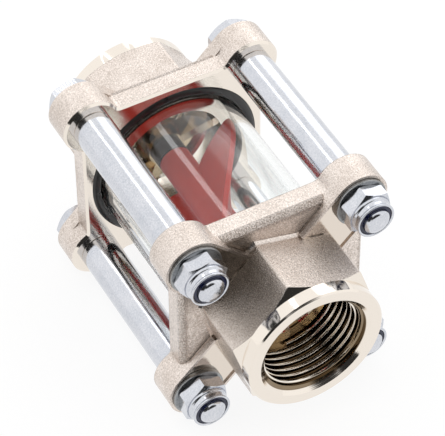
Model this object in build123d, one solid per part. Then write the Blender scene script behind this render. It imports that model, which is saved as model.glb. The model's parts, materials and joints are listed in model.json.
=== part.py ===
from build123d import *
import os
from math import cos, pi, radians, sin

# Impeller flow indicator: two threaded end castings clamp a sight glass with a helical rotor inside.
# Millimetres. X is the pipe axis with the outlet at +X, and the part lies on its lower lugs, Z up.
# The origin is the middle of the pipe axis.

# How far a cut runs past the face that it opens through
cut_past = 1.0
# Two distances that differ by less than this are taken as equal
same_within = 0.001

# Sight section
sight_length = 51.4
glass_outer_diameter = 49.0
glass_wall = 2.8
glass_seat_depth = 3.8
glass_clearance = 0.2

# Seal ring round each end of the glass
seal_section = 2.7
seal_clearance = 0.1
seal_stand_proud = 1.0

# Flange of an end casting
bolt_spacing = 52.4
flange_floor_thickness = 8.1
flange_edge_round = 2.2
flange_bevel = 0.7
lug_radius = 9.0
lug_overhang = 5.5
lug_seat_height = 9.9
lug_blend_radius = 2.0
rib_height = 0.5
rib_sunk_length = 1.2
rib_round = 0.25
washer_pocket_clearance = 0.15
bolt_hole_diameter = 9.0

# Threaded neck of an end casting
neck_flats = 42.0
neck_hex_length = 20.2
neck_root_bevel = 0.9
neck_corner_round = 1.2
neck_corner_bevel_length = 1.8
neck_collar_radius = 21.5
overall_length = 116.6
collar_bevel = 0.5
outlet_neck_turn = 45.0
inlet_neck_turn = 52.0

# Pipe thread and waterway
thread_major_diameter = 33.25
thread_minor_diameter = 30.29
thread_depth = 18.3
mouth_bevel = 1.2
chamber_diameter = 35.0
chamber_depth = 9.5

# Bearing spider cast inside the chamber
boss_set_back = 4.3
boss_nose_radius = 5.8
boss_radius = 7.5
boss_flare_length = 4.5
boss_length = 9.5
arm_count = 3
arm_width = 3.0
arm_set_back = 5.0
arm_length = 6.5
arm_turn = 50.0
arm_sunk_depth = 1.0

# Bearing bush
bush_flange_radius = 5.0
bush_flange_thickness = 4.9
bush_radius = 3.6
bush_length = 4.5
bush_seat_clearance = 0.05

# Rotor and its shaft
shaft_diameter = 3.0
shaft_running_clearance = 0.05
shaft_end_play = 0.6
rotor_end_play = 0.3
hub_radius = 5.0
blade_tip_clearance = 1.1
blade_thickness = 1.8
blade_root_length = 30.0
blade_tip_length = 44.0
blade_corner_radius = 2.5
blade_mid_angle = 76.3
blade_lead = 197.0
blade_stations = 9
blade_trim_margin = 1.0

# Spacer tubes and M8 hardware
spacer_outer_diameter = 12.0
spacer_inner_diameter = 8.6
bolt_diameter = 8.0
bolt_length = 82.3
bolt_end_bevel = 1.0
hex_flats = 13.0
head_height = 5.3
hex_corner_bevel = 0.9
hex_bevel_inset = 0.05
washer_outer_diameter = 16.0
washer_inner_diameter = 8.4
washer_thickness = 1.6
nut_hex_height = 4.6
nut_height = 8.0
nut_collar_radius = 6.1
nut_lip_radius = 5.1
nut_thread_clearance = 0.05
insert_height = 2.2
insert_recess = 0.4
insert_clearance = 0.02

inner_face = sight_length / 2
floor_face = inner_face + flange_floor_thickness
lug_face = inner_face + lug_seat_height
rib_face = lug_face + rib_height
flange_edge = bolt_spacing / 2 + lug_radius - lug_overhang
mouth_face = overall_length / 2
hex_end = floor_face + neck_hex_length
glass_outer_radius = glass_outer_diameter / 2
glass_inner_radius = glass_outer_radius - glass_wall
blade_tip_radius = glass_inner_radius - blade_tip_clearance
seal_bore_radius = glass_outer_radius + seal_section + 2 * seal_clearance
seal_bore_depth = seal_section + seal_clearance - seal_stand_proud
boss_face = inner_face + boss_set_back
bush_face = boss_face - bush_flange_thickness
hub_half_length = bush_face - rotor_end_play
washer_face = lug_face + washer_thickness

corner_names = {
    "upper_left": (-1, 1),
    "upper_right": (1, 1),
    "lower_left": (-1, -1),
    "lower_right": (1, -1),
}
nut_turn = {"upper_left": 68.0, "upper_right": 100.0, "lower_left": 93.0, "lower_right": 80.0}
head_turn = {"upper_left": 80.0, "upper_right": 95.0, "lower_left": 62.0, "lower_right": 110.0}


# Plane across the pipe axis: its own x runs along Y and its own y along Z
def across(x):
    return Plane(origin=(x, 0, 0), x_dir=(0, 1, 0), z_dir=(1, 0, 0))


def prism(outline, x_from, x_to):
    return extrude(across(x_from) * outline, x_to - x_from)


def rod(radius, x_from, x_to):
    return prism(Circle(radius), x_from, x_to)


def tube(outer_radius, inner_radius, x_from, x_to):
    return prism(Circle(outer_radius) - Circle(inner_radius), x_from, x_to)


# Solid turned about the pipe axis from a closed outline of (x, radius) points
def turned(points):
    return revolve(make_face(Polyline(*points, close=True)), Axis.X)


def hexagon(flats, turn):
    corner_radius = flats / 2 / cos(pi / 6)
    angles = [radians(turn + 60 * side) for side in range(6)]
    return Polygon(*[(corner_radius * cos(a), corner_radius * sin(a)) for a in angles], align=None)


def lug_places():
    half = bolt_spacing / 2
    return [(y * half, z * half) for y, z in corner_names.values()]


def flange_outline():
    outline = Rectangle(2 * flange_edge, 2 * flange_edge)
    for place in lug_places():
        outline += Pos(*place) * Circle(lug_radius)
    inside_corners = []
    for vertex in outline.vertices():
        if abs(max(abs(vertex.X), abs(vertex.Y)) - flange_edge) < same_within:
            inside_corners.append(vertex)
    return fillet(inside_corners, lug_blend_radius)


# Horseshoes that run from the neck round each lug, with their sides at the given distance from the bolt
def lug_tracks(half_width):
    inner_end = neck_flats / 2 - rib_sunk_length
    outer_end = bolt_spacing / 2 * 2 ** 0.5
    track = Pos((inner_end + outer_end) / 2, 0) * Rectangle(outer_end - inner_end, 2 * half_width)
    track += Pos(outer_end, 0) * Circle(half_width)
    tracks = Sketch()
    for quarter in range(4):
        tracks += Rot(0, 0, 45 + 90 * quarter) * track
    return tracks


def flange():
    plate = prism(flange_outline(), inner_face, floor_face)
    plate = chamfer(plate.faces().sort_by(Axis.X)[0].edges(), flange_bevel)
    plate = fillet(plate.faces().sort_by(Axis.X)[-1].edges(), flange_edge_round)
    lugs = prism(lug_tracks(lug_radius), floor_face - flange_edge_round, rib_face)
    lugs = fillet(lugs.faces().sort_by(Axis.X)[-1].edges(), rib_round)
    pocket_half_width = washer_outer_diameter / 2 + washer_pocket_clearance
    lugs -= prism(lug_tracks(pocket_half_width), lug_face, rib_face)
    return plate + lugs


def neck(turn):
    corner_radius = neck_flats / 2 / cos(pi / 6)
    bevel_start = hex_end - neck_corner_bevel_length
    outline = hexagon(neck_flats, turn)
    hexagonal = prism(fillet(outline.vertices(), neck_corner_round), floor_face, hex_end)
    envelope = turned([
        (floor_face, 0),
        (floor_face, corner_radius),
        (bevel_start, corner_radius),
        (hex_end, neck_collar_radius),
        (hex_end, 0),
    ])
    collar = turned([
        (hex_end - neck_corner_bevel_length, 0),
        (hex_end - neck_corner_bevel_length, neck_flats / 2),
        (hex_end, neck_collar_radius),
        (mouth_face - collar_bevel, neck_collar_radius),
        (mouth_face, neck_collar_radius - collar_bevel),
        (mouth_face, 0),
    ])
    root = loft([
        across(floor_face) * hexagon(neck_flats + 2 * neck_root_bevel, turn),
        across(floor_face + neck_root_bevel) * hexagon(neck_flats, turn),
    ])
    return (hexagonal & envelope) + collar + root


# Everything that is bored out along the pipe axis
def waterway():
    chamber_radius = chamber_diameter / 2
    core_radius = thread_minor_diameter / 2
    thread_radius = thread_major_diameter / 2
    chamber_end = inner_face + chamber_depth
    thread_start = mouth_face - thread_depth
    return turned([
        (inner_face - cut_past, 0),
        (inner_face - cut_past, chamber_radius),
        (chamber_end, chamber_radius),
        (chamber_end + chamber_radius - core_radius, core_radius),
        (thread_start, core_radius),
        (thread_start, thread_radius),
        (mouth_face - mouth_bevel, thread_radius),
        (mouth_face, thread_radius + mouth_bevel),
        (mouth_face + cut_past, thread_radius + mouth_bevel),
        (mouth_face + cut_past, 0),
    ])


# Streamlined boss on three arms, with the bush's blind hole in its nose
def spider():
    boss_end = boss_face + boss_length
    boss = turned([
        (boss_face, 0),
        (boss_face, boss_nose_radius),
        (boss_face + boss_flare_length, boss_radius),
        (boss_end - boss_radius / 2, boss_radius),
        (boss_end, boss_radius / 2),
        (boss_end, 0),
    ])
    arm_start = inner_face + arm_set_back
    arm_reach = chamber_diameter / 2 + arm_sunk_depth
    for arm in range(arm_count):
        turn = Rot(0, 0, arm_turn + 360 / arm_count * arm)
        outline = turn * Pos(arm_reach / 2, 0) * Rectangle(arm_reach, arm_width)
        boss += prism(outline, arm_start, arm_start + arm_length)
    bush_hole = bush_radius + bush_seat_clearance
    shaft_hole = shaft_diameter / 2 + 2 * shaft_running_clearance
    boss -= rod(bush_hole, boss_face - cut_past, boss_face + bush_length + bush_seat_clearance)
    boss -= rod(shaft_hole, boss_face, boss_face + bush_length + 2 * shaft_end_play)
    return boss


def end_casting(neck_turn):
    body = flange() + neck(neck_turn)
    body -= waterway()
    body += spider()
    slot_depth = glass_seat_depth + glass_clearance
    slot_outer = glass_outer_radius + glass_clearance
    slot_inner = glass_inner_radius - glass_clearance
    body -= tube(slot_outer, slot_inner, inner_face - cut_past, inner_face + slot_depth)
    body -= tube(seal_bore_radius, slot_inner, inner_face - cut_past, inner_face + seal_bore_depth)
    for place in lug_places():
        bolt_hole = Pos(*place) * Circle(bolt_hole_diameter / 2)
        body -= prism(bolt_hole, inner_face - cut_past, rib_face + cut_past)
    return body


def sight_glass():
    half = inner_face + glass_seat_depth
    return tube(glass_outer_radius, glass_inner_radius, -half, half)


def seal_ring():
    section_radius = seal_section / 2
    x = inner_face - seal_stand_proud + section_radius
    ring_radius = glass_outer_radius + seal_clearance + section_radius
    return revolve(Pos(x, ring_radius) * Circle(section_radius), Axis.X)


def bearing_bush():
    bore = shaft_diameter / 2 + shaft_running_clearance
    bush = rod(bush_flange_radius, bush_face, boss_face)
    bush += rod(bush_radius, boss_face, boss_face + bush_length)
    return bush - rod(bore, bush_face - cut_past, boss_face + bush_length + cut_past)


def shaft_half_length():
    return boss_face + bush_length - shaft_end_play


# Two helical blades made as one twisted strip, trimmed to swept end edges
def rotor_blades():
    half_tip = blade_tip_length / 2
    half_root = blade_root_length / 2
    step = blade_tip_length / (blade_stations - 1)
    strip_width = 2 * (blade_tip_radius + blade_trim_margin)
    sections = []
    for station in range(blade_stations):
        x = -half_tip + step * station
        turn = Rot(0, 0, blade_mid_angle + 360 * x / blade_lead)
        sections.append(across(x) * turn * Rectangle(strip_width, blade_thickness))
    strip = loft(sections)
    profile = make_face(Polyline(
        (-half_root, 0),
        (-half_root, hub_radius),
        (-half_tip, blade_tip_radius),
        (half_tip, blade_tip_radius),
        (half_root, hub_radius),
        (half_root, 0),
        close=True,
    ))
    tips = profile.vertices().sort_by(Axis.Y)[-2:]
    return strip & revolve(fillet(tips, blade_corner_radius), Axis.X)


def rotor():
    body = rotor_blades() + rod(hub_radius, -hub_half_length, hub_half_length)
    return body - rod(shaft_diameter / 2, -hub_half_length - cut_past, hub_half_length + cut_past)


def rotor_shaft():
    half = shaft_half_length()
    return rod(shaft_diameter / 2, -half, half)


# Hexagon with its corners turned off; the bevel at the far end falls outside where envelope_to lies past x_to
def turned_hexagon(x_from, x_to, turn, envelope_to):
    corner = hex_flats / 2 / cos(pi / 6)
    bevelled_radius = hex_flats / 2 - hex_bevel_inset
    envelope = turned([
        (x_from, 0),
        (x_from, bevelled_radius),
        (x_from + hex_corner_bevel, corner),
        (envelope_to - hex_corner_bevel, corner),
        (envelope_to, bevelled_radius),
        (envelope_to, 0),
    ])
    return prism(hexagon(hex_flats, turn), x_from, x_to) & envelope


def tie_bolt(turn):
    radius = bolt_diameter / 2
    end = bolt_length - lug_face
    head = turned_hexagon(-lug_face - head_height, -lug_face, turn, -lug_face + hex_corner_bevel)
    shank = turned([
        (-lug_face, 0),
        (-lug_face, radius),
        (end - bolt_end_bevel, radius),
        (end, radius - bolt_end_bevel),
        (end, 0),
    ])
    return head + shank


def lock_nut(turn):
    hex_top = washer_face + nut_hex_height
    top = washer_face + nut_height
    insert_bottom = top - insert_recess - insert_height
    insert_radius = nut_lip_radius
    collar = turned([
        (hex_top - hex_corner_bevel, 0),
        (hex_top - hex_corner_bevel, nut_collar_radius),
        (top - insert_recess, nut_collar_radius),
        (top, nut_lip_radius + insert_recess),
        (top, 0),
    ])
    nut = turned_hexagon(washer_face, hex_top, turn, hex_top) + collar
    nut -= rod(bolt_diameter / 2 + nut_thread_clearance, washer_face - cut_past, top + cut_past)
    return nut - rod(insert_radius, insert_bottom, top + cut_past)


def locking_insert():
    top = washer_face + nut_height - insert_recess
    outer = nut_lip_radius - insert_clearance
    return tube(outer, bolt_diameter / 2 + insert_clearance, top - insert_height, top)


def washer():
    return tube(washer_outer_diameter / 2, washer_inner_diameter / 2, lug_face, washer_face)


def spacer_tube():
    return tube(spacer_outer_diameter / 2, spacer_inner_diameter / 2, -inner_face, inner_face)


def save(shape, name):
    shape.label = name
    export_step(shape, "parts/" + name + ".step")


def build():
    os.makedirs("parts", exist_ok=True)
    half_turn = Rot(0, 0, 180)
    save(end_casting(outlet_neck_turn), "outlet_body")
    save(half_turn * end_casting(inlet_neck_turn), "inlet_body")
    save(sight_glass(), "sight_glass")
    save(seal_ring(), "outlet_seal_ring")
    save(half_turn * seal_ring(), "inlet_seal_ring")
    save(bearing_bush(), "outlet_bearing_bush")
    save(half_turn * bearing_bush(), "inlet_bearing_bush")
    save(rotor(), "rotor")
    save(rotor_shaft(), "rotor_shaft")
    half = bolt_spacing / 2
    for corner, (side, level) in corner_names.items():
        place = Pos(0, side * half, level * half)
        save(place * spacer_tube(), "spacer_tube_" + corner)
        save(place * tie_bolt(head_turn[corner]), "tie_bolt_" + corner)
        save(place * washer(), "washer_" + corner)
        save(place * lock_nut(nut_turn[corner]), "lock_nut_" + corner)
        save(place * locking_insert(), "locking_insert_" + corner)


build()
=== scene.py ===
import json
import math
from functools import reduce
import bpy
import bmesh
from mathutils import Matrix, Vector


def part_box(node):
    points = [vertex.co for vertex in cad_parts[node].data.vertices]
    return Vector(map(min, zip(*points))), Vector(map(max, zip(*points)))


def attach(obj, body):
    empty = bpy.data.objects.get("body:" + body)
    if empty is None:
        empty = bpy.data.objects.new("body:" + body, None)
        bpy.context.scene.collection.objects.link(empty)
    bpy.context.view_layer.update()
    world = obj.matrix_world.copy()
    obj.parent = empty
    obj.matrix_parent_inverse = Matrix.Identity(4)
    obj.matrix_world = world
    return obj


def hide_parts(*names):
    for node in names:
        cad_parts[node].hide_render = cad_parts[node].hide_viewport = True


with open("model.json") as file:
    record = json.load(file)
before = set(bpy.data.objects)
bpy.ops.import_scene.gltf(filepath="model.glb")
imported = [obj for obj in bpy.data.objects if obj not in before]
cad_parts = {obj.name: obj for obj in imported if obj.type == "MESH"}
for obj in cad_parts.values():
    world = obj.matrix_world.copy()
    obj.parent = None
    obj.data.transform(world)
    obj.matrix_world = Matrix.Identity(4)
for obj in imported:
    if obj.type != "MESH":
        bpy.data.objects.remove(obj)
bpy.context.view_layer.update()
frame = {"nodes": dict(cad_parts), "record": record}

mm = 0.001
tiny = 1e-6  # millimetres
mergeDistance = 1e-7  # metres
smoothAngle = 32.0  # edges sharper than this stay sharp
diagonal = math.sqrt(0.5)


# Shared measures in millimetres, read from the frame
def nodeBox(node):
    low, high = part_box(node)
    return [v / mm for v in low], [v / mm for v in high]


def halfWidth(box):
    return (box[1][1] - box[0][1]) / 2


glassBox = nodeBox("sight_glass")
bodyBox = nodeBox("outlet_body")
spacerBox = nodeBox("spacer_tube_upper_left")
washerBox = nodeBox("washer_upper_left")
nutBox = nodeBox("lock_nut_upper_left")
insertBox = nodeBox("locking_insert_upper_left")
boltBox = nodeBox("tie_bolt_upper_left")
sealBox = nodeBox("outlet_seal_ring")
rotorBox = nodeBox("rotor")

innerFace = spacerBox[1][0]
mouthFace = bodyBox[1][0]
lugFace = washerBox[0][0]
boltPitch = nodeBox("washer_upper_right")[0][1] - washerBox[0][1]
corners = {  # side along Y and level along Z of each tie bolt
    "upper_left": (-1, 1),
    "upper_right": (1, 1),
    "lower_left": (-1, -1),
    "lower_right": (1, -1),
}


# One socket of a node tree, for sums written as Python expressions
class Term:
    def __init__(self, tree, socket):
        self.tree = tree
        self.socket = socket

    def math(self, operation, *others):
        made = addNode(self.tree, "ShaderNodeMath", [self, *others], {"operation": operation})
        return Term(self.tree, made.outputs[0])

    def __add__(self, other):
        return self.math("ADD", other)

    __radd__ = __add__

    def __sub__(self, other):
        return self.math("SUBTRACT", other)

    def __rsub__(self, other):
        return self.math("MULTIPLY", -1.0).math("ADD", other)

    def __mul__(self, other):
        return self.math("MULTIPLY", other)

    __rmul__ = __mul__

    def __truediv__(self, other):
        return self.math("DIVIDE", other)

    def sqrt(self):
        return self.math("SQRT")

    def abs(self):
        return self.math("ABSOLUTE")

    def sin(self):
        return self.math("SINE")

    def cos(self):
        return self.math("COSINE")

    def atLeast(self, other):
        return self.math("MAXIMUM", other)

    either = atLeast  # the union of two masks

    def clamped(self):
        return self.atLeast(0.0).math("MINIMUM", 1.0)

    # Masks that are 1 above or below an edge and fade over a width
    def above(self, edge, width):
        return ((self - edge) * (1.0 / width) + 0.5).clamped()

    def below(self, edge, width):
        return 1.0 - self.above(edge, width)


def addNode(tree, kind, inputs=None, settings=None):
    made = tree.nodes.new(kind)
    for key, value in (settings or {}).items():
        setattr(made, key, value)
    named = inputs.items() if isinstance(inputs, dict) else enumerate(inputs or [])
    for key, value in named:
        socket = made.inputs[key]
        if isinstance(value, Term):
            tree.links.new(value.socket, socket)
        elif isinstance(value, bpy.types.NodeSocket):
            tree.links.new(value, socket)
        else:
            socket.default_value = value
    return made


# A material on the principled shader, with x, y, z and the radius at hand in millimetres
class Finish:
    def __init__(self, name, constants):
        self.material = bpy.data.materials.new(name)
        self.material.use_nodes = True
        self.tree = self.material.node_tree
        self.shader = self.tree.nodes["Principled BSDF"]
        for key, value in constants.items():
            self.shader.inputs[key].default_value = value
        coordinates = addNode(self.tree, "ShaderNodeTexCoord")
        self.place = Term(self.tree, coordinates.outputs["Object"])
        split = addNode(self.tree, "ShaderNodeSeparateXYZ", [self.place])
        self.x, self.y, self.z = (Term(self.tree, output) * (1 / mm) for output in split.outputs)
        self.radius = (self.y * self.y + self.z * self.z).sqrt()

    def noise(self, grain, detail=2.0, stretch=None):
        place = self.place
        if stretch:
            mapped = addNode(self.tree, "ShaderNodeMapping", {"Vector": place, "Scale": stretch})
            place = Term(self.tree, mapped.outputs[0])
        made = addNode(self.tree, "ShaderNodeTexNoise", {
            "Vector": place, "Scale": 1 / (grain * mm), "Detail": detail})
        return Term(self.tree, made.outputs["Fac"])

    # Marks of turning about the pipe axis
    def rings(self, width):
        place = addNode(self.tree, "ShaderNodeCombineXYZ", [self.x.abs(), self.radius, 0.0])
        made = addNode(self.tree, "ShaderNodeTexNoise", {
            "Vector": place.outputs[0], "Scale": 1 / width, "Detail": 2.0})
        return Term(self.tree, made.outputs["Fac"])

    def mix(self, factor, first, second):
        made = addNode(self.tree, "ShaderNodeMix", settings={"data_type": "RGBA"})
        for socket, value in zip((made.inputs[0], made.inputs[6], made.inputs[7]), (factor, first, second)):
            if isinstance(value, Term):
                self.tree.links.new(value.socket, socket)
            else:
                socket.default_value = (*value, 1.0)
        return Term(self.tree, made.outputs[2])

    def feed(self, name, term):
        self.tree.links.new(term.socket, self.shader.inputs[name])

    def bump(self, height, distance):
        made = addNode(self.tree, "ShaderNodeBump", {
            "Strength": 1.0, "Distance": distance * mm, "Height": height})
        self.tree.links.new(made.outputs[0], self.shader.inputs["Normal"])


# Satin nickel over a blasted casting, with bright machined faces
nickelLooks = {
    "castColour": (0.91, 0.825, 0.765),
    "castDark": (0.53, 0.455, 0.40),
    "machinedColour": (0.84, 0.77, 0.69),
    "seatColour": (0.74, 0.66, 0.58),
    # Painted shade for the corner by the outlet's upper left lug: its colour and strength
    "paintedShadeColour": (0.17, 0.14, 0.11),
    "shade": 0.62,
    # Bore painted darker for shade, thread valleys painted as shade and thread crests painted as highlight
    "paintedShadeBoreColour": (0.44, 0.35, 0.24),
    "paintedShadeValleyColour": (0.25, 0.19, 0.125),
    "paintedHighlightCrestColour": (0.88, 0.82, 0.74),
    "castRoughness": 0.26,
    "machinedRoughness": 0.10,
    "roughnessSpread": 0.25,
    "floorPolish": 0.5,
    "grain": 0.42,
    "fineGrain": 0.189,
    "patch": 9.0,
    "turning": 0.33,
    "grainContrast": 2.2,
    # Painted sparkle along the flange rim
    "rimPaintedSparkle": 5.0,
    "patchContrast": 0.8,
    "coarseShare": 0.7,
    "grainHeight": 0.10,
    "rimRelief": 5.0,
    "floorCalm": 0.7,
    "turnedHeight": 0.006,
    "bumpDistance": 2.2,
}

# Edges of the casting's zones in millimetres, each with the width over which it fades
castingZones = {
    "innerSkin": (innerFace + 0.75, 0.1),
    "collarStart": (mouthFace - 4.42, 0.1),
    "boreWall": (17.62, 0.05),
    "seatBack": (lugFace - 0.6, 0.1),
    "seatFront": (lugFace + 0.4, 0.1),
    "seatRadius": (8.2, 0.1),
    "floorBack": (lugFace - 2.3, 0.3),
    "floorFront": (lugFace - 1.2, 0.4),
    "floorHalf": (28.0, 1.2),
    "rimBack": (lugFace - 3.8, 0.6),
    "rimFront": (lugFace - 1.9, 0.3),
    "rimFromTrack": (9.3, 0.3),
    "outletSide": (0.0, 1.0),
    # Where the painted shade by the outlet's upper left lug lies
    "paintedShadeSide": (-7.0, 3.0),
    "paintedShadeLevel": (8.0, 8.0),
    "threadWall": (16.75, 0.05),
    "threadCrest": (15.38, 0.12),
    "threadStart": (mouthFace - 17.4, 0.3),
    "mouthBevel": (mouthFace - 0.9, 0.6),
}
collarCone = {"foot": 21.5, "rise": 0.655}


def nickelFinish():
    looks, zones = nickelLooks, castingZones
    finish = Finish("satinNickel", {"Metallic": 1.0})
    along = finish.x.abs()
    outline = finish.y.abs().either(finish.z.abs())
    # Distance from the track that a washer pocket makes from its bolt outwards
    across = (finish.y.abs() - finish.z.abs()) * diagonal
    outward = ((finish.y.abs() + finish.z.abs() - boltPitch) * diagonal).atLeast(0.0)
    fromTrack = (across * across + outward * outward).sqrt()
    # Machined: inner face, collar with its cone, bore and washer seats
    inner = along.below(*zones["innerSkin"])
    cone = along + (finish.radius - collarCone["foot"]).atLeast(0.0) * collarCone["rise"]
    collar = cone.above(*zones["collarStart"])
    bore = finish.radius.below(*zones["boreWall"])
    seat = along.above(*zones["seatBack"]) * along.below(*zones["seatFront"])
    seat = seat * fromTrack.below(*zones["seatRadius"])
    machined = inner.either(collar).either(bore).either(seat)
    cast = 1.0 - machined
    # Smoother floor between the lugs, and a rim round the flange where the grain's relief is stronger and
    # painted sparkle is added to its colour
    onFloor = along.above(*zones["floorBack"]) * outline.below(*zones["floorHalf"])
    floor = onFloor * along.below(*zones["floorFront"])
    rim = along.above(*zones["rimBack"]) * along.below(*zones["rimFront"])
    rim = rim * fromTrack.above(*zones["rimFromTrack"])
    grain = finish.noise(looks["grain"], 3.0)
    fine = finish.noise(looks["fineGrain"])
    patches = finish.noise(looks["patch"])
    # Grain tone, with painted sparkle: the bright and dark specks are made stronger along the flange rim
    tone = (grain - 0.5) * (looks["grainContrast"] + rim * looks["rimPaintedSparkle"])
    tone = (tone + (patches - 0.5) * looks["patchContrast"] + 0.5).clamped()
    castColour = finish.mix(tone, looks["castDark"], looks["castColour"])
    # Painted shade: the floor and washer seats are darkened in the corner between the outlet neck and its
    # upper left lug
    paintedShade = onFloor * finish.y.below(*zones["paintedShadeSide"]) * finish.z.above(*zones["paintedShadeLevel"])
    paintedShade = paintedShade * finish.x.above(*zones["outletSide"]) * looks["shade"]
    castColour = finish.mix(paintedShade, castColour, looks["paintedShadeColour"])
    seatColour = finish.mix(paintedShade, looks["seatColour"], looks["paintedShadeColour"])
    machinedColour = finish.mix(seat, looks["machinedColour"], seatColour)
    # Bore painted darker for the shade deep in the mouth; thread with a painted highlight on its crests
    # over painted shade in its valleys
    inBore = finish.radius.below(*zones["threadWall"]) * along.below(*zones["mouthBevel"]) * (1.0 - inner)
    crest = finish.radius.below(*zones["threadCrest"])
    paintedThreadLightAndShade = finish.mix(crest, looks["paintedShadeValleyColour"], looks["paintedHighlightCrestColour"])
    paintedShadeBoreColour = finish.mix(along.above(*zones["threadStart"]), looks["paintedShadeBoreColour"], paintedThreadLightAndShade)
    machinedColour = finish.mix(inBore, machinedColour, paintedShadeBoreColour)
    finish.feed("Base Color", finish.mix(machined, castColour, machinedColour))
    added = (fine - 0.5) * looks["roughnessSpread"] + (looks["castRoughness"] - looks["machinedRoughness"])
    added = added * cast * (1.0 - floor * looks["floorPolish"])
    finish.feed("Roughness", added + looks["machinedRoughness"])
    coarseShare = looks["coarseShare"]
    relief = (1.0 + rim * looks["rimRelief"] - floor * looks["floorCalm"]) * looks["grainHeight"]
    blasted = (grain * coarseShare + fine * (1.0 - coarseShare)) * cast * relief
    turned = finish.rings(looks["turning"]) * machined * looks["turnedHeight"]
    finish.bump(blasted + turned, looks["bumpDistance"])
    return finish.material


# Zinc plating: cloudy bright steel with faint drawing lines along the axis
zincLooks = {"colour": (0.54, 0.565, 0.615), "tint": (0.72, 0.725, 0.76), "roughness": 0.15}
# Washers: rougher zinc, painted darker for the shade in the pockets round the nuts
dullZincPaintedShadeLooks = {"colour": (0.22, 0.23, 0.23), "tint": (0.40, 0.41, 0.42), "roughness": 0.30}
zincGrain = {
    "cloud": 6.0, "speck": 0.5, "speckContrast": 1.8, "lines": 0.35, "lineStretch": (0.05, 1.0, 1.0),
    "lineRoughness": 0.12, "cloudRoughness": 0.08, "lineHeight": 0.012,
}


def zincFinish(name, looks):
    grain = zincGrain
    finish = Finish(name, {"Metallic": 1.0})
    specks = (finish.noise(grain["speck"], 3.0) - 0.5) * grain["speckContrast"]
    cloud = (finish.noise(grain["cloud"]) + specks).clamped()
    lines = finish.noise(grain["lines"], stretch=grain["lineStretch"])
    finish.feed("Base Color", finish.mix(cloud, looks["colour"], looks["tint"]))
    uneven = (lines - 0.5) * grain["lineRoughness"] + (cloud - 0.5) * grain["cloudRoughness"]
    finish.feed("Roughness", looks["roughness"] + uneven)
    finish.bump(lines, grain["lineHeight"])
    return finish.material


# Red moulded plastic with a fine eroded skin
rotorLooks = {
    "colour": (0.70, 0.060, 0.042), "deep": (0.52, 0.038, 0.028), "roughness": 0.45, "specular": 0.25,
    "cloud": 4.0, "skin": 0.5, "skinRoughness": 0.15, "skinHeight": 0.02,
}


def rotorFinish():
    looks = rotorLooks
    finish = Finish("redMouldedPlastic", {"Specular IOR Level": looks["specular"]})
    cloud = finish.noise(looks["cloud"], 3.0)
    skin = finish.noise(looks["skin"])
    finish.feed("Base Color", finish.mix(cloud, looks["deep"], looks["colour"]))
    finish.feed("Roughness", looks["roughness"] + (skin - 0.5) * looks["skinRoughness"])
    finish.bump(skin, looks["skinHeight"])
    return finish.material


# Rubber, bearing plastic and nylon
darkLooks = {
    "black_rubber": {
        "name": "blackRubber", "colour": (0.012, 0.012, 0.012), "light": (0.025, 0.024, 0.023),
        "roughness": 0.30, "grain": 3.0,
    },
    "black_bearing_plastic": {
        "name": "blackBushPlastic", "colour": (0.012, 0.010, 0.012), "light": (0.03, 0.022, 0.025),
        "roughness": 0.35, "grain": 2.0,
    },
    "navy_nylon": {
        "name": "navyNylon", "colour": (0.006, 0.010, 0.045), "light": (0.012, 0.018, 0.07),
        "roughness": 0.22, "grain": 1.5,
    },
}
darkSkin = {"roughness": 0.15, "fineness": 0.2, "height": 0.01}


def darkFinish(looks):
    finish = Finish(looks["name"], {})
    cloud = finish.noise(looks["grain"], 3.0)
    finish.feed("Base Color", finish.mix(cloud, looks["colour"], looks["light"]))
    finish.feed("Roughness", looks["roughness"] + (cloud - 0.5) * darkSkin["roughness"])
    finish.bump(finish.noise(looks["grain"] * darkSkin["fineness"]), darkSkin["height"])
    return finish.material


# Clear glass with a weak shine, which casts only a thin shadow
glassLooks = {
    "colour": (0.97, 0.985, 0.98, 1.0), "shadow": (0.96, 0.97, 0.97, 1.0),
    "refraction": 1.47, "specular": 0.05, "smear": 18.0, "smearRoughness": 0.02,
}


def glassFinish():
    looks = glassLooks
    finish = Finish("clearGlass", {"Transmission Weight": 1.0, "IOR": looks["refraction"],
                                   "Specular IOR Level": looks["specular"], "Base Color": looks["colour"]})
    smear = finish.noise(looks["smear"]) - 0.5
    finish.feed("Roughness", smear.atLeast(0.0) * looks["smearRoughness"])
    tree = finish.tree
    path = addNode(tree, "ShaderNodeLightPath")
    clear = addNode(tree, "ShaderNodeBsdfTransparent", [looks["shadow"]])
    mixed = addNode(tree, "ShaderNodeMixShader", [path.outputs["Is Shadow Ray"],
                                                  finish.shader.outputs[0], clear.outputs[0]])
    tree.links.new(mixed.outputs[0], tree.nodes["Material Output"].inputs["Surface"])
    return finish.material


materials = {slotName: darkFinish(looks) for slotName, looks in darkLooks.items()}
materials["nickel_plated_brass"] = nickelFinish()
materials["zinc_plated_steel"] = zincFinish("brightZinc", zincLooks)
materials["dull_zinc_painted_shade"] = zincFinish("dullZincPaintedShade", dullZincPaintedShadeLooks)
materials["steel_shaft"] = zincFinish("groundSteel", zincLooks)
materials["red_plastic"] = rotorFinish()
materials["clear_glass"] = glassFinish()
print("finishes ready")


# Turned forms, all about an axis along X, with lengths in millimetres
lathe = {"segments": 96, "arcSteps": 3, "arcShare": 0.45, "longRun": 0.8, "support": 0.12}


def ringOf(mesh, x, radii, place, turn=0.0):
    if max(radii) < tiny:
        return [mesh.verts.new((x * mm, place[0] * mm, place[1] * mm))]
    made = []
    for index, radius in enumerate(radii):
        angle = math.radians(turn) + 2 * math.pi * index / len(radii)
        level = x[index] if isinstance(x, list) else x
        made.append(mesh.verts.new((level * mm, (place[0] + radius * math.cos(angle)) * mm,
                                    (place[1] + radius * math.sin(angle)) * mm)))
    return made


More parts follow.
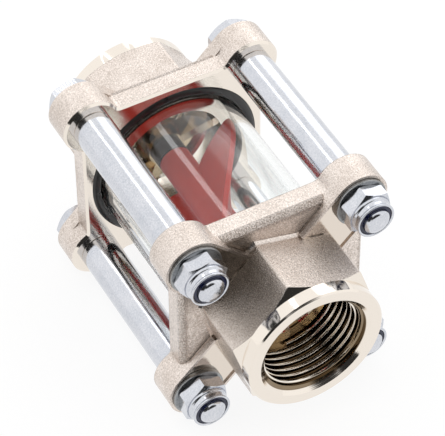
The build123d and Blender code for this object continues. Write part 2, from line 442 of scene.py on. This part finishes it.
def bridge(mesh, first, second):
    count = max(len(first), len(second))
    for index in range(count):
        after = (index + 1) % count
        loop = []
        for vertex in (first[index % len(first)], first[after % len(first)],
                       second[after % len(second)], second[index % len(second)]):
            if vertex not in loop:
                loop.append(vertex)
        if len(loop) > 2:
            mesh.faces.new(loop)


# Extra points near the ends of long straight runs keep their shading flat
def supported(profile, closed):
    made = []
    count = len(profile)
    for index, point in enumerate(profile):
        made.append(point)
        if index == count - 1 and not closed:
            break
        here, after = Vector(point), Vector(profile[(index + 1) % count])
        run = after - here
        if run.length > lathe["longRun"]:
            step = run.normalized() * lathe["support"]
            made += [tuple(here + step), tuple(after - step)]
    return made


def latheInto(mesh, profile, place=(0, 0), segments=lathe["segments"]):
    rings = [ringOf(mesh, x, [radius] * segments, place) for x, radius in supported(profile, True)]
    for first, second in zip(rings, rings[1:] + rings[:1]):
        bridge(mesh, first, second)


# Corners of an outline rounded by short arcs
def softened(points, radius, closed=True):
    made = []
    count = len(points)
    for index, point in enumerate(points):
        here = Vector(point)
        if not closed and index in (0, count - 1):
            made.append(tuple(here))
            continue
        before = Vector(points[index - 1])
        after = Vector(points[(index + 1) % count])
        room = min(radius, min((before - here).length, (after - here).length) * lathe["arcShare"])
        start = here + (before - here).normalized() * room
        end = here + (after - here).normalized() * room
        for step in range(lathe["arcSteps"] + 1):
            t = step / lathe["arcSteps"]
            made.append(tuple(start * (1 - t) ** 2 + here * 2 * t * (1 - t) + end * t ** 2))
    return made


# A tube with rounded edges, from sizes low, high, inner, outer and edge
def tubeInto(mesh, sizes, place=(0, 0), segments=lathe["segments"]):
    low, high, inner, outer = sizes["low"], sizes["high"], sizes["inner"], sizes["outer"]
    section = [(low, inner), (low, outer), (high, outer), (high, inner)]
    latheInto(mesh, softened(section, sizes["edge"]), place, segments)


def objectFrom(mesh, name, material, creaseAngle=smoothAngle):
    bmesh.ops.remove_doubles(mesh, verts=mesh.verts, dist=mergeDistance)
    bmesh.ops.recalc_face_normals(mesh, faces=mesh.faces)
    for face in mesh.faces:
        face.smooth = True
    limit = math.radians(creaseAngle)
    for edge in mesh.edges:
        edge.smooth = len(edge.link_faces) != 2 or edge.calc_face_angle(0.0) < limit
    data = bpy.data.meshes.new(name)
    mesh.to_mesh(data)
    mesh.free()
    data.materials.clear()
    data.materials.append(material)
    made = bpy.data.objects.new(name, data)
    bpy.context.scene.collection.objects.link(made)
    return made


# A node tree for geometry, with its named sizes; lengths are in millimetres
class ShapeTree:
    def __init__(self, name, sizes, takesShape=False):
        self.tree = bpy.data.node_groups.new(name, "GeometryNodeTree")
        interface = self.tree.interface
        interface.new_socket(name="Shape", in_out="OUTPUT", socket_type="NodeSocketGeometry")
        if takesShape:
            interface.new_socket(name="Shape", in_out="INPUT", socket_type="NodeSocketGeometry")
        self.identifiers = {}
        for label, value in sizes.items():
            kind = "NodeSocketInt" if isinstance(value, int) else "NodeSocketFloat"
            item = interface.new_socket(name=label, in_out="INPUT", socket_type=kind)
            item.default_value = value
            self.identifiers[label] = item.identifier
        self.given = self.tree.nodes.new("NodeGroupInput")
        self.sizes = sizes

    def size(self, label):
        return Term(self.tree, self.given.outputs[label])

    def node(self, kind, inputs=None, settings=None):
        return Term(self.tree, addNode(self.tree, kind, inputs, settings).outputs[0])

    def position(self):
        split = addNode(self.tree, "ShaderNodeSeparateXYZ", [self.node("GeometryNodeInputPosition")])
        return [Term(self.tree, output) for output in split.outputs]

    def finish(self, shape, material):
        realized = self.node("GeometryNodeRealizeInstances", [shape])
        painted = self.node("GeometryNodeSetMaterial", {"Geometry": realized, "Material": material})
        last = self.tree.nodes.new("NodeGroupOutput")
        self.tree.links.new(painted.socket, last.inputs[0])


edgeBevel = {"segments": 2, "sharperThan": 50.0}


# Runs a shape tree on a mesh and keeps the result as a plain mesh
def grow(mesh, name, shapeTree, material, edgeRadius=0.0, creaseAngle=smoothAngle):
    seed = bpy.data.objects.new(name + "Seed", bpy.data.meshes.new(name + "Seed"))
    mesh.to_mesh(seed.data)
    mesh.free()
    bpy.context.scene.collection.objects.link(seed)
    modifier = seed.modifiers.new(name, "NODES")
    modifier.node_group = shapeTree.tree
    for label, identifier in shapeTree.identifiers.items():
        modifier[identifier] = shapeTree.sizes[label]
    if edgeRadius:
        bevel = seed.modifiers.new("edges", "BEVEL")
        bevel.width = edgeRadius * mm
        bevel.segments = edgeBevel["segments"]
        bevel.limit_method = "ANGLE"
        bevel.angle_limit = math.radians(edgeBevel["sharperThan"])
    grown = bpy.data.meshes.new_from_object(seed.evaluated_get(bpy.context.evaluated_depsgraph_get()))
    bpy.data.objects.remove(seed)
    result = bmesh.new()
    result.from_mesh(grown)
    bpy.data.meshes.remove(grown)
    return objectFrom(result, name, material, creaseAngle)


def settle(piece, body, slotName, *nodes):
    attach(piece, body)
    if nodes:
        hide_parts(*nodes)


def cornerPlace(corner):
    side, level = corners[corner]
    return side * boltPitch / 2, level * boltPitch / 2


# The same tube at each corner: spacer tubes, washers and locking inserts
def makeCornerTubes(name, node, sizes, materialName, slotName):
    for corner in corners:
        mesh = bmesh.new()
        tubeInto(mesh, sizes, cornerPlace(corner))
        tube = objectFrom(mesh, name + "_" + corner, materials[materialName])
        settle(tube, "housing", slotName, node + "_" + corner)


spacerSizes = {
    "low": -innerFace, "high": innerFace,
    "inner": 4.3, "outer": halfWidth(spacerBox), "edge": 0.35,
}
washerSizes = {
    "low": lugFace, "high": washerBox[1][0],
    "inner": 4.2, "outer": halfWidth(washerBox), "edge": 0.3,
}
insertSizes = {
    "low": insertBox[0][0], "high": insertBox[1][0],
    "inner": 4.02, "outer": halfWidth(insertBox), "edge": 0.3,
}


# Hexagon with conical corner bevels, as rings from one end to the other
hexSizes = {"flats": 13.0, "bevelStart": 0.985, "bevelSlope": 30.0}


def hexInto(mesh, xBase, xTop, place, turn, bevelBase):
    segments, half = lathe["segments"], hexSizes["flats"] / 2
    hexRadii = []
    for index in range(segments):
        offset = (index * 360 / segments + 30) % 60 - 30
        hexRadii.append(half / math.cos(math.radians(30 - abs(offset))))
    coneRadius = half * hexSizes["bevelStart"]
    slope = math.copysign(math.tan(math.radians(hexSizes["bevelSlope"])), xTop - xBase)
    drops = [max(0.0, radius - coneRadius) * slope for radius in hexRadii]
    rings = []
    if bevelBase:
        rings.append(ringOf(mesh, xBase, [coneRadius] * segments, place, turn))
        rings.append(ringOf(mesh, [xBase + drop for drop in drops], hexRadii, place, turn))
    else:
        rings.append(ringOf(mesh, xBase, hexRadii, place, turn))
    rings.append(ringOf(mesh, [xTop - drop for drop in drops], hexRadii, place, turn))
    rings.append(ringOf(mesh, xTop, [coneRadius] * segments, place, turn))
    for first, second in zip(rings, rings[1:]):
        bridge(mesh, first, second)
    return rings[0], rings[-1]


def continueInto(mesh, ring, profile, place, turn):
    for x, radius in supported(profile, False):
        following = ringOf(mesh, x, [radius] * len(ring), place, turn)
        bridge(mesh, ring, following)
        ring = following
    return ring


# Crown and tail are pairs of a distance back from the bolt's end and a radius
boltSizes = {
    "shank": 4.0, "crownHeight": 0.35,
    "crown": [(0.08, 5.6), (0.0, 4.9), (0.0, 0.0)],
    "tail": [(1.1, 4.0), (0.75, 3.75), (0.3, 3.2), (0.08, 2.3), (0.0, 0.0)],
    "headTurns": {"upper_left": 80.0, "upper_right": 95.0, "lower_left": 62.0, "lower_right": 110.0},
}


def makeBolts():
    headTop, end = boltBox[0][0], boltBox[1][0]
    shoulder = headTop + boltSizes["crownHeight"]
    crown = [(headTop + back, radius) for back, radius in boltSizes["crown"]]
    tail = [(-lugFace, boltSizes["shank"])] + [(end - back, radius) for back, radius in boltSizes["tail"]]
    for corner in corners:
        place, turn = cornerPlace(corner), boltSizes["headTurns"][corner]
        mesh = bmesh.new()
        under, top = hexInto(mesh, -lugFace, shoulder, place, turn, bevelBase=False)
        continueInto(mesh, top, crown, place, turn)
        continueInto(mesh, under, tail, place, turn)
        bolt = objectFrom(mesh, "tieBolt_" + corner, materials["zinc_plated_steel"])
        settle(bolt, "housing", "zinc_plated_steel", "tie_bolt_" + corner)


# The collar's places are above the hexagon up to the neck, and below the top from there on
nutSizes = {
    "hexHeight": 4.6, "bore": 4.05, "edge": 0.3,
    "collarRadius": 6.1, "collarFoot": -0.15, "collarTop": 0.75,
    "neckRadius": 5.6, "neckFoot": 1.1, "neckTop": 0.95,
    "rimRadius": 5.95, "rimFoot": 0.55, "rimSlope": 0.15,
    "lipRadius": 5.1, "insertSeat": 2.8,
    "turns": {"upper_left": 68.0, "upper_right": 100.0, "lower_left": 93.0, "lower_right": 80.0},
}


def makeNuts():
    sizes = nutSizes
    base, top = nutBox[0][0], nutBox[1][0]
    crown = base + sizes["hexHeight"]
    collar = softened([
        (crown + sizes["collarFoot"], sizes["collarRadius"]),
        (crown + sizes["collarTop"], sizes["collarRadius"]),
        (crown + sizes["neckFoot"], sizes["neckRadius"]),
        (top - sizes["neckTop"], sizes["neckRadius"]),
        (top - sizes["rimFoot"], sizes["rimRadius"]),
        (top, sizes["rimRadius"] - sizes["rimSlope"]),
        (top - sizes["rimSlope"], sizes["lipRadius"]),
        (top - sizes["insertSeat"], sizes["lipRadius"]),
        (top - sizes["insertSeat"], sizes["bore"]),
        (base, sizes["bore"]),
    ], sizes["edge"], closed=False)
    for corner in corners:
        place, turn = cornerPlace(corner), sizes["turns"][corner]
        mesh = bmesh.new()
        under, shoulder = hexInto(mesh, base, crown, place, turn, bevelBase=True)
        bridge(mesh, continueInto(mesh, shoulder, collar, place, turn), under)
        nut = objectFrom(mesh, "lockNut_" + corner, materials["zinc_plated_steel"])
        settle(nut, "housing", "zinc_plated_steel", "lock_nut_" + corner)


# Castings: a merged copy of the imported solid
castingMesh = {"merge": 1e-6, "flatWithin": 0.4, "crease": 30.0}


def makeCasting(name, node):
    mesh = bmesh.new()
    mesh.from_mesh(frame["nodes"][node].data)
    bmesh.ops.remove_doubles(mesh, verts=mesh.verts, dist=castingMesh["merge"])
    flatWithin = math.radians(castingMesh["flatWithin"])
    bmesh.ops.dissolve_limit(mesh, angle_limit=flatWithin, verts=mesh.verts, edges=mesh.edges)
    casting = objectFrom(mesh, name, materials["nickel_plated_brass"], castingMesh["crease"])
    casting.modifiers.new("flatShading", "WEIGHTED_NORMAL").keep_sharp = True
    settle(casting, "housing", "nickel_plated_brass", node)


glassSizes = {
    "low": glassBox[0][0], "high": glassBox[1][0],
    "inner": glassBox[1][1] - 2.8, "outer": glassBox[1][1], "edge": 0.4,
}


def makeGlass():
    mesh = bmesh.new()
    tubeInto(mesh, glassSizes, segments=2 * lathe["segments"])
    glass = objectFrom(mesh, "sightGlass", materials["clear_glass"])
    settle(glass, "housing", "clear_glass", "sight_glass")


# The part of each ring that stands out of its groove is squeezed towards the flange
sealSizes = {"standing": 0.45, "steps": 24, "segments": 160}


def makeSeal(name, node, side):
    section = (sealBox[1][0] - sealBox[0][0]) / 2
    squeeze = sealSizes["standing"] / (innerFace - sealBox[0][0])
    centreRadius = sealBox[1][1] - section
    profile = []
    for step in range(sealSizes["steps"]):
        angle = 2 * math.pi * step / sealSizes["steps"]
        x = sealBox[0][0] + section + side * section * math.cos(angle)
        if x < innerFace:
            x = innerFace - (innerFace - x) * squeeze
        profile.append((side * x, centreRadius + section * math.sin(angle)))
    mesh = bmesh.new()
    latheInto(mesh, profile, segments=sealSizes["segments"])
    seal = objectFrom(mesh, name, materials["black_rubber"])
    settle(seal, "housing", "black_rubber", node)


# Rotor: a turned hub and two helical blades with swept ends and rounded tips
rotorSizes = {
    "Blades": 2, "Root radius": 4.4, "Hub radius": 5.0, "Tip radius": rotorBox[1][2], "Thickness": 1.8,
    "Root length": 30.0, "Tip length": 44.0, "Corner radius": 2.5, "Middle angle": 76.3, "Lead": 197.0,
    "Points along": 81, "Points outward": 33,
}
hubSizes = {
    "low": rotorBox[0][0], "high": rotorBox[1][0],
    "inner": 1.5, "outer": rotorSizes["Hub radius"], "edge": 0.4,
}
bladeEdge = 0.22


def bladeTree():
    grower = ShapeTree("helicalBlades", rotorSizes, takesShape=True)
    size = grower.size
    block = grower.node("GeometryNodeMeshCube", {
        "Size": (1.0, 1.0, 1.0), "Vertices X": size("Points along"), "Vertices Y": size("Points outward"),
        "Vertices Z": 2})
    u, v, w = grower.position()
    rise = ((v + 0.5) * (math.pi / 2)).sin()
    radius = size("Root radius") + rise * (size("Tip radius") - size("Root radius"))
    outward = (radius - size("Hub radius")) / (size("Tip radius") - size("Hub radius"))
    halfLength = (size("Root length") + outward * (size("Tip length") - size("Root length"))) * 0.5
    intoCorner = ((radius - size("Tip radius")) / size("Corner radius") + 1.0).atLeast(0.0)
    cornerDrop = (1.0 - (1.0 - intoCorner * intoCorner).atLeast(0.0).sqrt()) * size("Corner radius")
    x = u * 2.0 * (halfLength - cornerDrop)
    angle = (size("Middle angle") + x * 360.0 / size("Lead")) * (math.pi / 180)
    offset = w * size("Thickness")
    y = radius * angle.cos() - offset * angle.sin()
    z = radius * angle.sin() + offset * angle.cos()
    place = grower.node("ShaderNodeCombineXYZ", [x * mm, y * mm, z * mm])
    blade = grower.node("GeometryNodeSetPosition", {"Geometry": block, "Position": place})
    starts = grower.node("GeometryNodeMeshLine", {"Count": size("Blades"), "Offset": (0.0, 0.0, 0.0)})
    turn = grower.node("GeometryNodeInputIndex") * (2 * math.pi) / size("Blades")
    turned = grower.node("ShaderNodeCombineXYZ", [turn, 0.0, 0.0])
    blades = grower.node("GeometryNodeInstanceOnPoints", {
        "Points": starts, "Instance": blade, "Rotation": turned})
    joined = grower.node("GeometryNodeJoinGeometry", [blades])
    grower.tree.links.new(grower.given.outputs["Shape"], joined.socket.node.inputs[0])
    grower.finish(joined, materials["red_plastic"])
    return grower


def makeRotor():
    mesh = bmesh.new()
    tubeInto(mesh, hubSizes)
    rotor = grow(mesh, "helicalRotor", bladeTree(), materials["red_plastic"], bladeEdge)
    settle(rotor, "rotor_set", "red_plastic", "rotor")


# Pipe thread inside each mouth: a rounded ridge that climbs along a helix
threadSizes = {
    "Pitch": 2.309, "Wall radius": 16.68, "Crest radius": 15.145, "Crest width": 0.55, "Root width": 2.2,
    "Start": 41.1, "Length": 16.4, "Rounding": 0.16, "Bevel start": 57.1, "End": mouthFace - 0.05,
    "Points per turn": 128, "Rounding points": 3,
}


def threadTree(side):
    grower = ShapeTree("pipeThread", threadSizes)
    size = grower.size
    depth = size("Wall radius") - size("Crest radius")
    middle = (size("Wall radius") + size("Crest radius")) * 0.5
    helix = grower.node("GeometryNodeCurveSpiral", {
        "Resolution": size("Points per turn"), "Rotations": size("Length") / size("Pitch"),
        "Start Radius": middle * mm, "End Radius": middle * mm, "Height": size("Length") * mm,
        "Reverse": True})
    helix = grower.node("GeometryNodeSetCurveNormal", [helix], {"mode": "Z_UP"})
    ridge = grower.node("GeometryNodeCurvePrimitiveQuadrilateral", {
        "Height": depth * mm, "Bottom Width": size("Root width") * mm,
        "Top Width": size("Crest width") * mm, "Offset": 0.0}, {"mode": "TRAPEZOID"})
    ridge = grower.node("GeometryNodeFilletCurve", {
        "Curve": ridge, "Radius": size("Rounding") * mm,
        "Count": size("Rounding points")}, {"mode": "POLY"})
    swept = grower.node("GeometryNodeCurveToMesh", {
        "Curve": helix, "Profile Curve": ridge, "Fill Caps": True})
    start = grower.node("ShaderNodeCombineXYZ", [size("Start") * (side * mm), 0.0, 0.0])
    moved = grower.node("GeometryNodeTransform", {
        "Geometry": swept, "Translation": start, "Rotation": (0.0, side * math.pi / 2, 0.0)})
    # Kept inside the mouth, and trimmed where its bevel opens
    along, y, z = grower.position()
    radius = (y * y + z * z).sqrt()
    bevelRadius = along.abs() - size("Bevel start") * mm + size("Wall radius") * mm
    trim = (bevelRadius / radius).atLeast(1.0)
    kept = (along * side).math("MINIMUM", size("End") * mm) * side
    trimmed = grower.node("ShaderNodeCombineXYZ", [kept, y * trim, z * trim])
    moved = grower.node("GeometryNodeSetPosition", {"Geometry": moved, "Position": trimmed})
    grower.finish(moved, materials["nickel_plated_brass"])
    return grower


def makeThread(name, side):
    thread = grow(bmesh.new(), name, threadTree(side), materials["nickel_plated_brass"], creaseAngle=50.0)
    settle(thread, "housing", "nickel_plated_brass")


makeCornerTubes("spacerTube", "spacer_tube", spacerSizes, "zinc_plated_steel", "zinc_plated_steel")
makeRotor()
makeThread("outletThread", 1)
makeThread("inletThread", -1)
print("spacer tubes, rotor and threads made")

makeBolts()
makeCornerTubes("washer", "washer", washerSizes, "dull_zinc_painted_shade", "zinc_plated_steel")
makeNuts()
makeCornerTubes("lockingInsert", "locking_insert", insertSizes, "navy_nylon", "navy_nylon")
print("bolts, washers and nuts made")

makeCasting("outletBody", "outlet_body")
makeCasting("inletBody", "inlet_body")
makeGlass()
makeSeal("outletSealRing", "outlet_seal_ring", 1)
makeSeal("inletSealRing", "inlet_seal_ring", -1)
print("castings, glass and seals made")

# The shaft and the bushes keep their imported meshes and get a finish
for name, piece in frame["nodes"].items():
    if not piece.hide_render:
        slotName = next(s["material_slot"] for s in frame["record"]["subparts"] if s["node"] == name)
        for slot in piece.material_slots:
            slot.material = materials[slotName]


# Studio: a white tent with darker openings, a soft side lamp and a strip that streaks the glass
studio = {
    "lamps": {
        "streak": {"from": (-0.60, -0.17, 0.79), "width": 0.10, "height": 0.20, "power": 0.18},
        "side": {"from": (-0.60, 0.62, 0.50), "width": 0.60, "height": 0.60, "power": 0.8},
    },
    "tentLevel": 1.10,
    "dimLevel": 0.03,
    "openings": [
        {"towards": (0.96, 0.06, 0.26), "width": 0.90, "edge": 0.05},
        {"towards": (0.35, -0.93, 0.10), "width": 0.95, "edge": 0.03},
        {"towards": (0.60, -0.72, 0.34), "width": 0.87, "edge": 0.05},
    ],
}


viewRays = ("Is Camera Ray", "Is Glossy Ray", "Is Transmission Ray")


def addLamp(name, sizes):
    data = bpy.data.lights.new(name, "AREA")
    data.shape = "RECTANGLE"
    data.size = sizes["width"]
    data.size_y = sizes["height"]
    data.energy = sizes["power"]
    lamp = bpy.data.objects.new(name, data)
    lamp.location = sizes["from"]
    lamp.rotation_euler = Vector(sizes["from"]).to_track_quat("Z", "Y").to_euler()
    bpy.context.scene.collection.objects.link(lamp)


def makeStudio():
    for name, sizes in studio["lamps"].items():
        addLamp(name + "Lamp", sizes)
    world = bpy.data.worlds.new("studioWorld")
    bpy.context.scene.world = world
    world.use_nodes = True
    tree = world.node_tree
    direction = addNode(tree, "ShaderNodeTexCoord")
    openings = []
    for opening in studio["openings"]:
        towards = tuple(Vector(opening["towards"]).normalized())
        facing = addNode(tree, "ShaderNodeVectorMath", [direction.outputs["Generated"], towards],
                         {"operation": "DOT_PRODUCT"})
        openings.append(Term(tree, facing.outputs["Value"]).above(opening["width"], opening["edge"]))
    dimness = reduce(Term.either, openings)
    path = addNode(tree, "ShaderNodeLightPath")
    camera, glossy, through = (Term(tree, path.outputs[ray]) for ray in viewRays)
    seen = camera.either(through * (1.0 - glossy))
    level = studio["tentLevel"] - dimness * (studio["tentLevel"] - studio["dimLevel"])
    level = level * (1.0 - seen) + seen
    background = tree.nodes["Background"]
    tree.links.new(level.socket, background.inputs["Strength"])
    background.inputs["Color"].default_value = (1.0, 1.0, 1.0, 1.0)


# The floor glows a little for what sees it, so that it stays white, and keeps the shadow
floorLooks = {"reach": 4.0, "colour": (0.95, 0.95, 0.95, 1.0), "roughness": 0.9,
              "glow": 1.03, "seenGlow": 0.85, "mirroredGlow": 0.95}


def makeFloor():
    looks = floorLooks
    reach, low = looks["reach"], bodyBox[0][2] * mm
    data = bpy.data.meshes.new("studioFloor")
    outline = [(-reach, -reach, low), (reach, -reach, low), (reach, reach, low), (-reach, reach, low)]
    data.from_pydata(outline, [], [(0, 1, 2, 3)])
    floor = bpy.data.objects.new("studioFloor", data)
    bpy.context.scene.collection.objects.link(floor)
    material = bpy.data.materials.new("paleFloor")
    material.use_nodes = True
    tree = material.node_tree
    shader = tree.nodes["Principled BSDF"]
    shader.inputs["Base Color"].default_value = looks["colour"]
    shader.inputs["Roughness"].default_value = looks["roughness"]
    data.materials.append(material)
    path = addNode(tree, "ShaderNodeLightPath")
    camera, glossy, through = (Term(tree, path.outputs[ray]) for ray in viewRays)
    seen = camera.either(through)
    glowing = seen * looks["seenGlow"] + glossy * (1.0 - seen) * looks["mirroredGlow"]
    white = addNode(tree, "ShaderNodeEmission", [(1.0, 1.0, 1.0, 1.0), looks["glow"]])
    mixed = addNode(tree, "ShaderNodeMixShader", [glowing, shader.outputs[0], white.outputs[0]])
    tree.links.new(mixed.outputs[0], tree.nodes["Material Output"].inputs["Surface"])


# Camera fitted to the photograph: turn and height in degrees, distance in metres
view = {
    "azimuth": 61.70, "elevation": 47.04, "roll": -0.595, "distance": 0.7695, "nearest": 0.01,
    "sensorWidth": 36.0, "focalPixels": 2634.6, "imageWidth": 445.0, "shiftPixels": (6.256, -2.966),
}


def makeCamera():
    azimuth, elevation = math.radians(view["azimuth"]), math.radians(view["elevation"])
    back = Vector((math.sin(azimuth) * math.cos(elevation), -math.cos(azimuth) * math.cos(elevation),
                   math.sin(elevation)))
    right = Vector((math.cos(azimuth), math.sin(azimuth), 0.0))
    up = back.cross(right)
    roll = math.radians(view["roll"])
    rolledRight = right * math.cos(roll) + up * math.sin(roll)
    rolledUp = up * math.cos(roll) - right * math.sin(roll)
    data = bpy.data.cameras.new("photoCamera")
    data.sensor_width = view["sensorWidth"]
    data.lens = view["focalPixels"] / view["imageWidth"] * view["sensorWidth"]
    data.shift_x = view["shiftPixels"][0] / view["imageWidth"]
    data.shift_y = view["shiftPixels"][1] / view["imageWidth"]
    data.clip_start = view["nearest"]
    camera = bpy.data.objects.new("photoCamera", data)
    turn = Matrix((rolledRight, rolledUp, back)).transposed().to_4x4()
    camera.matrix_world = Matrix.Translation(back * view["distance"]) @ turn
    bpy.context.scene.collection.objects.link(camera)
    bpy.context.scene.camera = camera


makeStudio()
makeFloor()
makeCamera()
bpy.context.scene.view_settings.view_transform = "Standard"
print("studio set")
